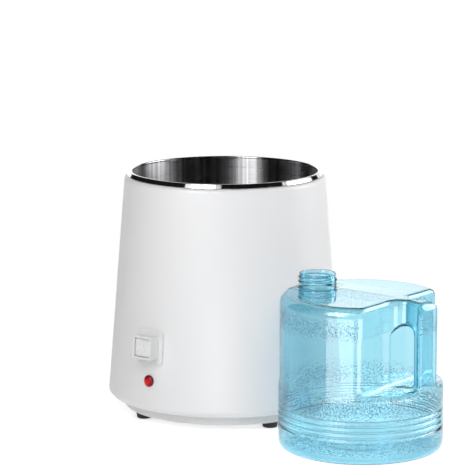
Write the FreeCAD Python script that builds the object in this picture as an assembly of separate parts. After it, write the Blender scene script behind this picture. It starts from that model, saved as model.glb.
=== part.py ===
import FreeCAD, Part
import math
import os

# Countertop water distiller: the heated base unit with its open stainless boiling
# chamber, and the clear blue jug that collects the water and stands beside it.
# Millimetres, +Z up. The origin is on the table under the middle of the pair, the
# base unit stands behind and to the left of it and the jug in front to the right.

# ---------------------------------------------------------------- boiling chamber
chamber_r = 90.6
chamber_sheet = 0.9
chamber_corner_r = 16.0
chamber_floor_rise = 49.5
chamber_clearance = 0.4
rim_overhang = 4.1
rim_tall = 4.5
rim_land = 1.6
rim_bead_r = 1.1
rim_gap = 0.1
wrap_thick = 5.0
wrap_gap = 0.2
wrap_low_rise = 38.0
wrap_tall = 102.0

# ---------------------------------------------------------------- base unit, outside
foot_height = 6.0
foot_r = 8.0
foot_inset = 9.5
foot_azimuths = [30.0, 120.0, 210.0, 300.0]
tray_inset = 16.0
tray_tall = 10.5
tray_floor = 3.0
tray_wall = 3.0
housing_tall = 217.0
housing_edge = 2.4
housing_flare = 17.4
housing_sheet = 1.0
housing_corner_r = 6.0
housing_shoulder_r = 4.2
housing_flange_edge = 3.5

# ---------------------------------------------------------------- heater under the chamber
plate_margin = 10.0
plate_thick = 6.0
element_margin = 12.0
element_r = 3.3
element_bend_r = 9.0
element_drop = 20.0
element_gap_deg = 44.0
element_gap_azimuth = 270.0
element_blade_wide = 6.3
element_blade_long = 10.0
clamp_margin = 3.0
clamp_wide = 27.0
clamp_thick = 1.2
stud_r = 2.5
stud_hole_gap = 0.3
stud_margin = 6.0
stud_azimuths = [30.0, 150.0, 270.0]
stud_spare = 3.0
nut_across = 8.0
nut_thick = 4.0
spider_thick = 1.0
spider_hub_r = 12.0
spider_hole_r = 5.5
spider_arm = 9.0
spider_arm_past = 8.0
thermostat_r = 8.5
blade_wide = 4.8
blade_thick = 0.8
blade_long = 8.0
thermostat_blade_x = 3.0
fuse_r = 2.1
fuse_long = 14.0
fuse_inset = 6.0
fuse_azimuth = 330.0

# ---------------------------------------------------------------- fixings in the tray
rod_r = 2.5
rod_margin = 4.6
rod_azimuths = [0.0, 120.0, 240.0]
rod_boss_r = 7.0
rod_boss_tall = 21.0
rod_end_back = 0.5
nut_pocket_gap = 0.4
nut_pocket_roof = 1.0
screw_r = 2.0
screw_head_r = 3.8
screw_head_thick = 2.4
screw_head_sink = 1.2
screw_inset = 7.5
screw_azimuths = [75.0, 165.0, 255.0, 345.0]
screw_boss_wall = 3.4
screw_gap = 0.3
screw_past = 6.0
sheet_nut_across = 7.0
sheet_nut_thick = 3.0
foot_head_recess = 1.6
foot_screw_past = 1.0
vent_count = 12
vent_inset = 22.0
vent_wide = 3.0
vent_long = 20.0

# ---------------------------------------------------------------- switch and lamp, front left
switch_azimuth = 231.5
switch_rise = 63.5
box_wide = 23.4
box_tall = 22.2
box_out = 13.5
box_wall = 2.0
box_corner_r = 2.0
flange_side = 3.5
flange_end = 4.8
flange_thick = 1.6
button_gap = 0.35
button_thick = 6.0
button_recess = 0.5
button_travel = 2.5
button_corner_r = 2.2
button_bevel = 1.5
stem_r = 2.5
stem_long = 5.4
stem_gap = 0.3
sleeve_step = 2.2
sleeve_wall = 1.2
sleeve_in = 7.0
hole_gap = 0.3
switch_body_gap = 0.1
switch_body_in = 10.0
switch_body_face = 1.2
spring_long = 12.0
spring_wide = 9.0
spring_sheet = 0.3
spring_foot_x = 5.2
spring_crest_x = 3.9
spring_bend_r = 0.5
spring_seat_gap = 0.1
switch_blade_long = 5.0
switch_blade_x = 3.4
lamp_rise = 30.5
lamp_r = 5.6
lamp_out = 3.6
lamp_edge = 1.4
lamp_shoulder = 2.4
lamp_dome_r = 5.5
lamp_step = 1.2
lamp_barrel_in = 13.0
lamp_wall = 1.4
lamp_nut_wide = 2.7
lamp_nut_thick = 2.5
lamp_nut_gap = 0.3
bulb_gap = 0.8
bulb_long = 13.0
holder_wall = 1.0
holder_long = 9.0
holder_cap = 3.0

# ---------------------------------------------------------------- sockets at the back
socket_azimuth = 90.0
socket_rise = 32.5
socket_screw_pitch = 40.0
socket_screw_head = 1.6
socket_screw_long = 12.0
socket_flange_wide = 22.5
socket_flange_end = 4.5
socket_flange_thick = 2.0
socket_spacing = 7.5
panel_side = 4.75
panel_end = 1.5
panel_out = 3.0
panel_edge_r = 3.0
socket_wall = 1.5
inlet_cavity_wide = 16.6
inlet_cavity_tall = 24.0
inlet_cavity_deep = 16.0
socket_back_wall = 6.0
outlet_groove = 2.1
pin_wide = 2.0
pin_tall = 4.0
pin_pitch = 7.0
pin_earth_shift = 4.0
pin_tip_back = 3.0
pin_fit = 0.01
slot_gap = 0.3
tab_long = 8.0

# ---------------------------------------------------------------- wires
wire_r = 1.1
lead_rod_gap = 8.9
loop_r = 84.0
loop_z = 32.0

# ---------------------------------------------------------------- collecting jug
jug_band_r = 77.0
jug_band_step = 1.0
jug_band_top_z = 58.0
jug_step_tall = 7.0
jug_deck_z = 145.0
jug_wall = 1.9
jug_foot_r = 7.0
jug_shoulder_r = 9.0
jug_foot_ring = 19.0
jug_punt_rise = 4.0
rib_first_z = 23.5
rib_pitch = 5.5
rib_count = 4
rib_deep = 1.0
rib_tall = 3.4
handle_deep = 34.0
bay_corner_r = 13.0
web_half = 5.6
eye_wide = 20.0
eye_cover = 24.0
eye_corner_r = 9.0
column_half = 17.0
column_turn = 2.0
lip_r = 4.4
neck_inset = 26.0
neck_r = 17.4
neck_wall = 2.0
neck_tall = 13.5
thread_r = 1.1
thread_pitch = 4.2
thread_turns = 2.0
thread_below_lip = 2.2
jug_gap = 2.0
jug_azimuth = -48.0
jug_handle_azimuth = -36.0

# ---------------------------------------------------------------- worked out: base unit
chamber_out_r = chamber_r + chamber_sheet
rim_outer_r = chamber_out_r + rim_overhang
housing_top_r = rim_outer_r + housing_edge
housing_bottom_r = housing_top_r + housing_flare
tray_r = housing_bottom_r - tray_inset
foot_circle_r = tray_r - foot_inset
screw_circle_r = tray_r - screw_inset
rod_circle_r = chamber_r - chamber_corner_r - rod_margin
plate_r = rod_circle_r - plate_margin
element_circle_r = plate_r - element_margin
clamp_out_r = plate_r - clamp_margin
clamp_in_r = clamp_out_r - clamp_wide
stud_circle_r = clamp_in_r + stud_margin
vent_circle_r = rod_circle_r - vent_inset
tray_low = foot_height
housing_bottom_z = tray_low + tray_tall
housing_top_z = housing_bottom_z + housing_tall
rim_top_z = housing_top_z + rim_tall
chamber_floor_z = housing_bottom_z + chamber_floor_rise
switch_z = housing_bottom_z + switch_rise
lamp_z = housing_bottom_z + lamp_rise
socket_z = housing_bottom_z + socket_rise
rod_boss_top_z = tray_low + rod_boss_tall
wall_slope = math.atan2(housing_flare, housing_tall)

# ---------------------------------------------------------------- worked out: sockets
socket_spread = (socket_flange_wide + socket_spacing) / 2
socket_flange_tall = socket_screw_pitch + 2 * socket_flange_end
panel_wide = 2 * socket_spread + socket_flange_wide + 2 * panel_side
panel_tall = socket_flange_tall + 2 * panel_end
socket_body_wide = inlet_cavity_wide + 2 * socket_wall
socket_body_tall = inlet_cavity_tall + 2 * socket_wall
socket_front = panel_out + socket_flange_thick
socket_body_in = inlet_cavity_deep - socket_front + socket_back_wall
outlet_island_wide = inlet_cavity_wide - 2 * outlet_groove
outlet_island_tall = inlet_cavity_tall - 2 * outlet_groove

# ---------------------------------------------------------------- worked out: jug
jug_body_r = jug_band_r - jug_band_step
jug_step_z = jug_band_top_z + jug_step_tall
jug_punt_r = jug_band_r - jug_foot_ring
bay_wall_s = jug_body_r - handle_deep
eye_outer_s = bay_wall_s + eye_wide
eye_top_z = jug_deck_z - eye_cover
column_turn_s = jug_body_r - column_turn
neck_s = neck_inset - jug_body_r
neck_top_z = jug_deck_z + neck_tall

# ---------------------------------------------------------------- where the two stand
apart = housing_bottom_r + jug_band_r + jug_gap
jug_dx = apart * math.cos(math.radians(jug_azimuth))
jug_dy = apart * math.sin(math.radians(jug_azimuth))


def wall_r(height):
    """Outside radius of the tapered housing at a height."""
    return housing_bottom_r - (height - housing_bottom_z) * math.tan(wall_slope)


lowest_screw = socket_screw_pitch / 2 + screw_head_r
back_y = (
    wall_r(socket_z)
    + (socket_front + socket_screw_head) * math.cos(wall_slope)
    + lowest_screw * math.sin(wall_slope)
)
unit_x = (housing_bottom_r - jug_dx - jug_band_r) / 2
unit_y = (jug_band_r - jug_dy - back_y) / 2
unit_place = FreeCAD.Placement(FreeCAD.Vector(unit_x, unit_y, 0), FreeCAD.Rotation())
jug_place = FreeCAD.Placement(
    FreeCAD.Vector(unit_x + jug_dx, unit_y + jug_dy, 0),
    FreeCAD.Rotation(FreeCAD.Vector(0, 0, 1), jug_handle_azimuth),
)

os.makedirs("parts", exist_ok=True)


def vec(x, y, z):
    return FreeCAD.Vector(x, y, z)


def save(node, shape, place=unit_place):
    """Put a finished piece where its assembly stands and write it."""
    placed = shape.copy()
    placed.Placement = place.multiply(placed.Placement)
    placed.exportStep("parts/" + node + ".step")


def group(shapes):
    return Part.makeCompound(shapes)


def rounded_wire(points, radii, upright=False):
    """Closed outline through 2-D points, with a tangent arc of its own radius at each corner."""

    def lift(p):
        return vec(p.x, 0, p.y) if upright else vec(p.x, p.y, 0)

    corners = []
    count = len(points)
    for i in range(count):
        here = vec(points[i][0], points[i][1], 0)
        before = vec(points[i - 1][0], points[i - 1][1], 0) - here
        after = vec(points[(i + 1) % count][0], points[(i + 1) % count][1], 0) - here
        before.normalize()
        after.normalize()
        if radii[i] == 0:
            corners.append((here, None, here))
            continue
        half = math.acos(max(-1.0, min(1.0, before.dot(after)))) / 2
        middle = before + after
        middle.normalize()
        reach = radii[i] / math.tan(half)
        centre = here + middle * (radii[i] / math.sin(half))
        corners.append((here + before * reach, centre - middle * radii[i], here + after * reach))
    edges = []
    for i in range(count):
        start, top, end = corners[i]
        if top is not None:
            edges.append(Part.Arc(lift(start), lift(top), lift(end)).toShape())
        following = corners[(i + 1) % count][0]
        if end.distanceToPoint(following) > 1e-6:
            edges.append(Part.LineSegment(lift(end), lift(following)).toShape())
    return Part.Wire(edges)


def turned(points, radii=None):
    """Solid turned about Z from an outline of (radius, height) points."""
    radii = radii or [0] * len(points)
    face = Part.Face(rounded_wire(points, radii, upright=True))
    return face.revolve(vec(0, 0, 0), vec(0, 0, 1), 360)


def tube(outer, inner, low, high):
    return turned([(inner, low), (outer, low), (outer, high), (inner, high)])


def rod(radius, low, high, x=0.0, y=0.0):
    return Part.makeCylinder(radius, high - low, vec(x, y, low))


def block(wide, tall, low, high, corner=0.0, u=0.0, v=0.0):
    """Upright prism on a rectangle centred at (u, v), with rounded vertical corners."""
    signs = [(-1, -1), (1, -1), (1, 1), (-1, 1)]
    points = [(u + a * wide / 2, v + b * tall / 2) for a, b in signs]
    face = Part.Face(rounded_wire(points, [corner] * 4))
    prism = face.extrude(vec(0, 0, high - low))
    prism.translate(vec(0, 0, low))
    return prism


def hexagon(across, low, high, x=0.0, y=0.0):
    """Hexagonal prism, measured across its flats."""
    radius = across / math.sqrt(3)
    corners = [polar(radius, 60 * i) for i in range(6)]
    points = [(x + dx, y + dy) for dx, dy in corners]
    prism = Part.Face(rounded_wire(points, [0] * 6)).extrude(vec(0, 0, high - low))
    prism.translate(vec(0, 0, low))
    return prism


def polar(radius, azimuth):
    angle = math.radians(azimuth)
    return radius * math.cos(angle), radius * math.sin(angle)


def around(azimuths, radius, make):
    """One copy of make(x, y) at each azimuth on a circle."""
    return [make(*polar(radius, azimuth)) for azimuth in azimuths]


def wall_place(azimuth, height):
    """Placement on the housing's wall: X level, Y up the slope, Z straight out of the wall."""
    angle = math.radians(azimuth)
    level_out = vec(math.cos(angle), math.sin(angle), 0)
    out = level_out * math.cos(wall_slope) + vec(0, 0, math.sin(wall_slope))
    up = vec(0, 0, math.cos(wall_slope)) - level_out * math.sin(wall_slope)
    level = up.cross(out)
    spot = vec(*polar(wall_r(height), azimuth), height)
    matrix = FreeCAD.Matrix(
        level.x, up.x, out.x, spot.x,
        level.y, up.y, out.y, spot.y,
        level.z, up.z, out.z, spot.z,
        0, 0, 0, 1,
    )
    return FreeCAD.Placement(matrix)


def put(shape, place):
    moved = shape.copy()
    moved.Placement = place.multiply(moved.Placement)
    return moved


def path_wire(points, radius=None):
    """Straight runs joined by tangent arcs, each as large as its runs allow."""
    edges = []
    last = points[0]
    for i in range(1, len(points) - 1):
        back = points[i - 1] - points[i]
        ahead = points[i + 1] - points[i]
        shorter = min(back.Length, ahead.Length)
        back.normalize()
        ahead.normalize()
        half = math.acos(max(-1.0, min(1.0, back.dot(ahead)))) / 2
        reach = 0.45 * shorter if radius is None else radius / math.tan(half)
        bend = reach * math.tan(half)
        middle = back + ahead
        middle.normalize()
        start = points[i] + back * reach
        end = points[i] + ahead * reach
        top = points[i] + middle * (bend / math.sin(half) - bend)
        edges.append(Part.LineSegment(last, start).toShape())
        edges.append(Part.Arc(start, top, end).toShape())
        last = end
    edges.append(Part.LineSegment(last, points[-1]).toShape())
    return Part.Wire(edges)


def swept(wire, radius):
    """Round bar of one radius along a wire."""
    first = wire.OrderedEdges[0]
    direction = first.tangentAt(first.FirstParameter)
    start = first.valueAt(first.FirstParameter)
    ring = Part.Wire([Part.makeCircle(radius, start, direction)])
    return wire.makePipeShell([ring], True, False)


# ================================================================ base unit
# Painted steel housing: a spun cone with a turned-in foot flange and a rolled shoulder.
def housing_form(inset):
    """Solid of the housing's form, inset by a thickness."""
    top = housing_top_z - inset
    low = housing_bottom_z + inset
    side = inset / math.cos(wall_slope)
    points = [(0, low), (wall_r(low) - side, low), (wall_r(top) - side, top), (0, top)]
    return turned(points, [0, housing_corner_r - inset, housing_shoulder_r - inset, 0])


outer_housing = housing_form(0).cut(housing_form(housing_sheet))
flange_in_r = screw_circle_r - housing_flange_edge
outer_housing = outer_housing.cut(rod(flange_in_r, 0, housing_bottom_z + 2 * housing_sheet))
outer_housing = outer_housing.cut(rod(chamber_out_r + chamber_clearance, housing_top_z - 20, rim_top_z))
sleeve_wide = box_wide - 2 * sleeve_step
sleeve_tall = box_tall - 2 * sleeve_step
lamp_barrel_r = lamp_r - lamp_step
switch_place = wall_place(switch_azimuth, switch_z)
lamp_place = wall_place(switch_azimuth, lamp_z)
socket_place = wall_place(socket_azimuth, socket_z)
wall_cuts = [
    put(block(sleeve_wide + 2 * hole_gap, sleeve_tall + 2 * hole_gap, -8, 8), switch_place),
    put(rod(lamp_barrel_r + hole_gap, -8, 8), lamp_place),
]


def socket_holes():
    """What the two sockets and their screws pass through in the wall and the panel."""
    holes = []
    for u in (-socket_spread, socket_spread):
        wide = socket_body_wide + 2 * hole_gap
        tall = socket_body_tall + 2 * hole_gap
        holes.append(put(block(wide, tall, -14, 8, u=u), socket_place))
        for end in (-1, 1):
            screw_hole = rod(screw_r + screw_gap, -14, 8, u, end * socket_screw_pitch / 2)
            holes.append(put(screw_hole, socket_place))
    return holes


wall_cuts += socket_holes()
for x, y in [polar(screw_circle_r, azimuth) for azimuth in screw_azimuths]:
    wall_cuts.append(rod(screw_r + screw_gap, housing_bottom_z - 2, housing_bottom_z + 3, x, y))
for cut in wall_cuts:
    outer_housing = outer_housing.cut(cut)
save("outer_housing", outer_housing)

# Moulded base tray: floor, outer ring, bosses for rods and screws, cooling slots.
base_tray = turned(
    [
        (0, tray_low),
        (tray_r, tray_low),
        (tray_r, housing_bottom_z),
        (tray_r - tray_wall, housing_bottom_z),
        (tray_r - tray_wall, tray_low + tray_floor),
        (0, tray_low + tray_floor),
    ],
    [0, 1.0, 0, 0, 1.0, 0],
)


def posts(azimuths, circle_r, radius, low, high):
    """Upright round posts on a circle: bosses, or the holes drilled for what passes through."""
    return around(azimuths, circle_r, lambda x, y: rod(radius, low, high, x, y))


screw_boss_r = screw_r + screw_boss_wall
bosses = posts(rod_azimuths, rod_circle_r, rod_boss_r, tray_low, rod_boss_top_z)
bosses += posts(screw_azimuths, screw_circle_r, screw_boss_r, tray_low, housing_bottom_z)
for boss in bosses:
    base_tray = base_tray.fuse(boss)
nut_seat_z = tray_low + nut_thick + nut_pocket_roof
nut_pocket = nut_across + 2 * nut_pocket_gap
screw_seat_z = tray_low + screw_head_thick + screw_head_sink
tray_cuts = posts(rod_azimuths, rod_circle_r, rod_r + stud_hole_gap, 0, rod_boss_top_z + 1)
tray_cuts += around(rod_azimuths, rod_circle_r, lambda x, y: hexagon(nut_pocket, 0, nut_seat_z, x, y))
tray_cuts += posts(screw_azimuths, screw_circle_r, screw_r + screw_gap, 0, housing_bottom_z + 1)
tray_cuts += posts(screw_azimuths, screw_circle_r, screw_head_r + screw_gap, 0, screw_seat_z)
tray_cuts += posts(foot_azimuths, foot_circle_r, screw_r, 0, housing_bottom_z)
for i in range(vent_count):
    slot = block(vent_long, vent_wide, 0, housing_bottom_z, 0.49 * vent_wide, u=vent_circle_r)
    slot.rotate(vec(0, 0, 0), vec(0, 0, 1), (i + 0.5) * 360 / vent_count)
    tray_cuts.append(slot)
for cut in tray_cuts:
    base_tray = base_tray.cut(cut)
save("base_tray", base_tray.removeSplitter())


# Rubber feet with their screws up into the tray floor.
def foot(x, y):
    bore = screw_r + screw_gap
    points = [(bore, 0), (foot_r - 1, 0), (foot_r, foot_height), (bore, foot_height)]
    body = turned(points, [0, 1.2, 0, 0])
    body = body.cut(rod(screw_head_r + screw_gap, 0, foot_height - foot_head_recess))
    body.translate(vec(x, y, 0))
    return body


def foot_screw(x, y):
    head_top = foot_height - foot_head_recess
    head = rod(screw_head_r, head_top - screw_head_thick, head_top, x, y)
    shank = rod(screw_r, head_top, foot_height + tray_floor + foot_screw_past, x, y)
    return head.fuse(shank)


save("rubber_feet", group(around(foot_azimuths, foot_circle_r, foot)))
save("foot_screws", group(around(foot_azimuths, foot_circle_r, foot_screw)))


# Screws up through the tray's bosses into the housing's foot flange, with sheet nuts on top.
def housing_screw(x, y):
    head = rod(screw_head_r, screw_seat_z - screw_head_thick, screw_seat_z, x, y)
    shank = rod(screw_r, screw_seat_z, housing_bottom_z + screw_past, x, y)
    return head.fuse(shank)


def housing_nut(x, y):
    low = housing_bottom_z + housing_sheet
    high = low + sheet_nut_thick
    return hexagon(sheet_nut_across, low, high, x, y).cut(rod(screw_r, low - 1, high + 1, x, y))


save("housing_screws", group(around(screw_azimuths, screw_circle_r, housing_screw)))
save("housing_nuts", group(around(screw_azimuths, screw_circle_r, housing_nut)))

# Deep-drawn stainless boiling chamber with its rolled chrome-bright rim over the housing.
floor_low = chamber_floor_z - chamber_sheet
skirt_z = housing_top_z + rim_gap
chamber_points = [
    (0, floor_low),
    (chamber_out_r, floor_low),
    (chamber_out_r, skirt_z),
    (rim_outer_r, skirt_z),
    (chamber_out_r + rim_land, rim_top_z),
    (chamber_r, rim_top_z),
    (chamber_r, chamber_floor_z),
    (0, chamber_floor_z),
]
chamber_radii = [0, chamber_corner_r, 0, 0.4, rim_bead_r, rim_bead_r, chamber_corner_r - chamber_sheet, 0]
save("boiling_chamber", turned(chamber_points, chamber_radii))
wrap_in_r = chamber_out_r + wrap_gap
wrap_low = chamber_floor_z + wrap_low_rise
save("insulation_wrap", tube(wrap_in_r + wrap_thick, wrap_in_r, wrap_low, wrap_low + wrap_tall))

# Heater: aluminium spreader plate, sheathed element, steel clamp ring, studs and nuts.
plate_low = floor_low - plate_thick
element_z = plate_low - element_r
clamp_high = element_z - element_r
clamp_low = clamp_high - clamp_thick
spider_low = clamp_low - spider_thick
stud_low = spider_low - nut_thick - stud_spare


def drilled(solid):
    """Solid with a clearance hole for each chamber stud."""
    for hole in posts(stud_azimuths, stud_circle_r, stud_r + stud_hole_gap, 0, rim_top_z):
        solid = solid.cut(hole)
    return solid


save("heater_plate", drilled(rod(plate_r, plate_low, floor_low)))
clamp_ring = drilled(tube(clamp_out_r, clamp_in_r, clamp_low, clamp_high))
for side in (-1, 1):
    x, y = polar(element_circle_r, element_gap_azimuth + side * element_gap_deg / 2)
    clamp_ring = clamp_ring.cut(rod(element_bend_r + element_r, 0, rim_top_z, x, y))
save("heater_clamp_ring", clamp_ring)


def element_end(side):
    """Centre line of one end of the element: a level stub, a bend and a drop."""
    azimuth = element_gap_azimuth + side * element_gap_deg / 2
    x, y = polar(element_circle_r, azimuth)
    angle = math.radians(azimuth)
    along = vec(side * math.sin(angle), -side * math.cos(angle), 0)
    start = vec(x, y, element_z)
    centre = start - vec(0, 0, element_bend_r)
    middle = centre + (along + vec(0, 0, 1)) * (element_bend_r / math.sqrt(2))
    end = centre + along * element_bend_r
    return start, middle, end, end - vec(0, 0, element_drop)


def element_path():
    first = element_end(1)
    last = element_end(-1)
    x, y = polar(element_circle_r, element_gap_azimuth + 180)
    edges = [
        Part.LineSegment(first[3], first[2]).toShape(),
        Part.Arc(first[2], first[1], first[0]).toShape(),
        Part.Arc(first[0], vec(x, y, element_z), last[0]).toShape(),
        Part.Arc(last[0], last[1], last[2]).toShape(),
        Part.LineSegment(last[2], last[3]).toShape(),
    ]
    return Part.Wire(edges)


save("heating_element", swept(element_path(), element_r))
neutral_tip, live_tip = [element_end(side)[3] for side in (-1, 1)]


def element_blade(tip):
    """Spade on the cold pin of the element."""
    corner = vec(tip.x - element_blade_wide / 2, tip.y - blade_thick / 2, tip.z - element_blade_long)
    return Part.makeBox(element_blade_wide, blade_thick, element_blade_long, corner)


save("element_terminals", group([element_blade(neutral_tip), element_blade(live_tip)]))


def stud(x, y):
    return rod(stud_r, stud_low, floor_low, x, y)


def stud_nut(x, y):
    return hexagon(nut_across, spider_low - nut_thick, spider_low, x, y).cut(rod(stud_r, 0, floor_low, x, y))


save("chamber_studs", group(around(stud_azimuths, stud_circle_r, stud)))
save("stud_nuts", group(around(stud_azimuths, stud_circle_r, stud_nut)))

# Boil-dry thermostat held up against the plate by a three-armed spring spider.
spider = rod(spider_hub_r, spider_low, clamp_low)
for azimuth in stud_azimuths:
    arm_long = stud_circle_r + spider_arm_past
    arm = block(arm_long, spider_arm, spider_low, clamp_low, 2.0, u=arm_long / 2)
    arm.rotate(vec(0, 0, 0), vec(0, 0, 1), azimuth)
    spider = spider.fuse(arm)
spider = drilled(spider.cut(rod(spider_hole_r, 0, floor_low)))
save("thermostat_spider", spider.removeSplitter())
thermostat = rod(thermostat_r, clamp_low, plate_low)
save("boil_dry_thermostat", thermostat)


def thermostat_blade(x):
    corner = vec(x - blade_thick / 2, -blade_wide / 2, clamp_low - blade_long)
    return Part.makeBox(blade_thick, blade_wide, blade_long, corner)


save("thermostat_terminals", group([thermostat_blade(side * thermostat_blade_x) for side in (-1, 1)]))
fuse_x, fuse_y = polar(element_circle_r - fuse_inset, fuse_azimuth)
fuse_along = vec(-math.sin(math.radians(fuse_azimuth)), math.cos(math.radians(fuse_azimuth)), 0)
fuse_centre = vec(fuse_x, fuse_y, clamp_low - fuse_r)
fuse_ends = [fuse_centre + fuse_along * (side * fuse_long / 2) for side in (-1, 1)]
save("thermal_fuse", Part.makeCylinder(fuse_r, fuse_long, fuse_ends[0], fuse_along))


# Tie rods pull the chamber down on the housing; their nuts sit in the tray's pockets.
def tie_rod(x, y):
    return rod(rod_r, tray_low + rod_end_back, floor_low, x, y)


def tie_nut(x, y):
    return hexagon(nut_across, nut_seat_z - nut_thick, nut_seat_z, x, y).cut(rod(rod_r, 0, floor_low, x, y))


save("tie_rods", group(around(rod_azimuths, rod_circle_r, tie_rod)))
save("tie_rod_nuts", group(around(rod_azimuths, rod_circle_r, tie_nut)))

# Switch housing: flange on the wall, deep square box outside, short sleeve through the wall.
seat_gap = 0.05
outside = rod(2 * housing_bottom_r, 0, housing_top_z).cut(
    Part.makeCone(wall_r(0) + seat_gap, wall_r(housing_top_z) + seat_gap, housing_top_z)
)
cavity_wide = box_wide - 2 * box_wall
cavity_tall = box_tall - 2 * box_wall
flange_wide = box_wide + 2 * flange_side
flange_tall = box_tall + 2 * flange_end
flange = put(block(flange_wide, flange_tall, -3, flange_thick, box_corner_r), switch_place).common(outside)
box_shell = put(block(box_wide, box_tall, flange_thick - 0.5, box_out, box_corner_r), switch_place)
sleeve = put(block(sleeve_wide, sleeve_tall, -sleeve_in, flange_thick, 1.0), switch_place)
switch_housing = flange.fuse(box_shell).fuse(sleeve)
body_wide = sleeve_wide - 2 * sleeve_wall
body_tall = sleeve_tall - 2 * sleeve_wall
sleeve_bore = put(block(body_wide, body_tall, -sleeve_in - 1, flange_thick + 1, 0.5), switch_place)
box_bore = put(block(cavity_wide, cavity_tall, flange_thick, box_out + 1, box_corner_r - 1.0), switch_place)
switch_housing = switch_housing.cut(sleeve_bore).cut(box_bore)
save("switch_housing", switch_housing.removeSplitter())

# Push button: a square cap with a stem, pushed out by a bent leaf spring.
button_front = box_out - button_recess
button_back = button_front - button_thick
button_wide = cavity_wide - 2 * button_gap
button_tall = cavity_tall - 2 * button_gap
cap = block(button_wide, button_tall, button_back, button_front, button_corner_r)
top_edges = [edge for edge in cap.Edges if edge.BoundBox.ZMin > button_front - 0.01]
cap = cap.makeChamfer(button_bevel, top_edges)
stem = rod(stem_r, button_back - stem_long, button_back)
save("switch_button", put(cap.fuse(stem), switch_place))
switch_body = block(
    body_wide - 2 * switch_body_gap, body_tall - 2 * switch_body_gap, -switch_body_in, switch_body_face, 0.5
)
stem_room = stem_long + button_travel + 2 * stem_gap
switch_body = switch_body.cut(rod(stem_r + stem_gap, button_back - stem_room, switch_body_face + 1))
save("switch_body", put(switch_body, switch_place))


def leaf_spring(low, high):
    """Hat-shaped strip of spring steel between two heights, holed for the stem."""
    left = [(-spring_long / 2, low), (-spring_long / 2, low + spring_sheet)]
    left += [(-spring_foot_x, low + spring_sheet), (-spring_crest_x, high)]
    under = [(spring_foot_x - spring_sheet, low), (spring_crest_x - spring_sheet, high - spring_sheet)]
    points = left + [(-x, z) for x, z in reversed(left)] + under + [(-x, z) for x, z in reversed(under)]
    wide_r = spring_bend_r + spring_sheet
    left_radii = [0, 0, spring_bend_r, wide_r]
    radii = left_radii + left_radii[::-1] + [wide_r, spring_bend_r, spring_bend_r, wide_r]
    strip = Part.Face(rounded_wire(points, radii)).extrude(vec(0, 0, spring_wide))
    strip.rotate(vec(0, 0, 0), vec(1, 0, 0), 90)
    strip.translate(vec(0, spring_wide / 2, 0))
    return strip.cut(rod(stem_r + stem_gap, low, high + 1))


spring = leaf_spring(switch_body_face + spring_seat_gap, button_back - spring_seat_gap)
save("switch_spring", put(spring, switch_place))


def switch_blade(u):
    return block(blade_wide, blade_thick, -switch_body_in - switch_blade_long, -switch_body_in, u=u)


save("switch_terminals", put(group([switch_blade(side * switch_blade_x) for side in (-1, 1)]), switch_place))

# Red pilot lamp: domed lens on a threaded barrel, neon bulb inside, nut behind the sheet.
lens = turned(
    [
        (0, -lamp_barrel_in),
        (lamp_barrel_r, -lamp_barrel_in),
        (lamp_barrel_r, 0.1),
        (lamp_r, 0.1),
        (lamp_r, lamp_edge),
        (lamp_r - lamp_shoulder, lamp_out),
        (0, lamp_out),
    ],
    [0, 0.5, 0, 0, 0.3, lamp_dome_r, 0],
)
lamp_bore_r = lamp_barrel_r - lamp_wall
lens = lens.cut(rod(lamp_bore_r, -lamp_barrel_in - 1, lamp_edge))
save("lamp_lens", put(lens, lamp_place))
bulb_r = lamp_bore_r - bulb_gap
bulb_high = lamp_edge - bulb_gap
bulb_low = bulb_high - bulb_long
bulb_points = [(0, bulb_low), (bulb_r, bulb_low), (bulb_r, bulb_high), (0, bulb_high)]
bulb = turned(bulb_points, [0, 0, 0.96 * bulb_r, 0])
save("neon_bulb", put(bulb, lamp_place))
lamp_nut_high = -housing_sheet - lamp_nut_gap
lamp_nut = tube(lamp_barrel_r + lamp_nut_wide, lamp_barrel_r, lamp_nut_high - lamp_nut_thick, lamp_nut_high)
save("lamp_nut", put(lamp_nut, lamp_place))
holder_low = -lamp_barrel_in - holder_long
holder = rod(lamp_barrel_r + holder_wall, holder_low, -lamp_barrel_in)
holder = holder.cut(rod(bulb_r + bulb_gap / 4, holder_low + holder_cap, 0))
save("lamp_holder", put(holder, lamp_place))

# Moulded panel that gives the two sockets a flat seat on the tapered wall.
panel = put(block(panel_wide, panel_tall, -12, panel_out, panel_edge_r), socket_place).common(outside)
for hole in socket_holes():
    panel = panel.cut(hole)
save("socket_panel", panel)


def pin_spots(u):
    """Centres of the live, neutral and earth contacts of a socket."""
    return [(u, pin_pitch), (u, -pin_pitch), (u + pin_earth_shift, 0.0)]


def socket_block(u):
    """Flange and body of a panel socket, before its own hollow is cut."""
    body = block(socket_flange_wide, socket_flange_tall, panel_out, socket_front, 3.0, u=u)
    body = body.fuse(block(socket_body_wide, socket_body_tall, -socket_body_in, panel_out, 1.0, u=u))
    for end in (-1, 1):
        body = body.cut(rod(screw_r + screw_gap, -20, 20, u, end * socket_screw_pitch / 2))
    return body


inlet_u = -socket_spread
outlet_u = socket_spread
cavity_low = socket_front - inlet_cavity_deep
cavity_high = socket_front + 1
inlet_cavity = block(inlet_cavity_wide, inlet_cavity_tall, cavity_low, cavity_high, 2.0, u=inlet_u)
inlet = socket_block(inlet_u).cut(inlet_cavity)
outlet = socket_block(outlet_u)
groove = block(inlet_cavity_wide, inlet_cavity_tall, cavity_low, cavity_high, 2.0, u=outlet_u)
island = block(outlet_island_wide, outlet_island_tall, -socket_body_in, socket_front + 2, 1.5, u=outlet_u)
outlet = outlet.cut(groove.cut(island))
tab_tip = -socket_body_in - tab_long
pins = []
contacts = []
for u, v in pin_spots(inlet_u):
    inlet = inlet.cut(block(pin_wide + 2 * pin_fit, pin_tall + 2 * pin_fit, -socket_body_in - 1, 0, u=u, v=v))
    pins.append(block(pin_wide, pin_tall, tab_tip, socket_front - pin_tip_back, u=u, v=v))
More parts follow.
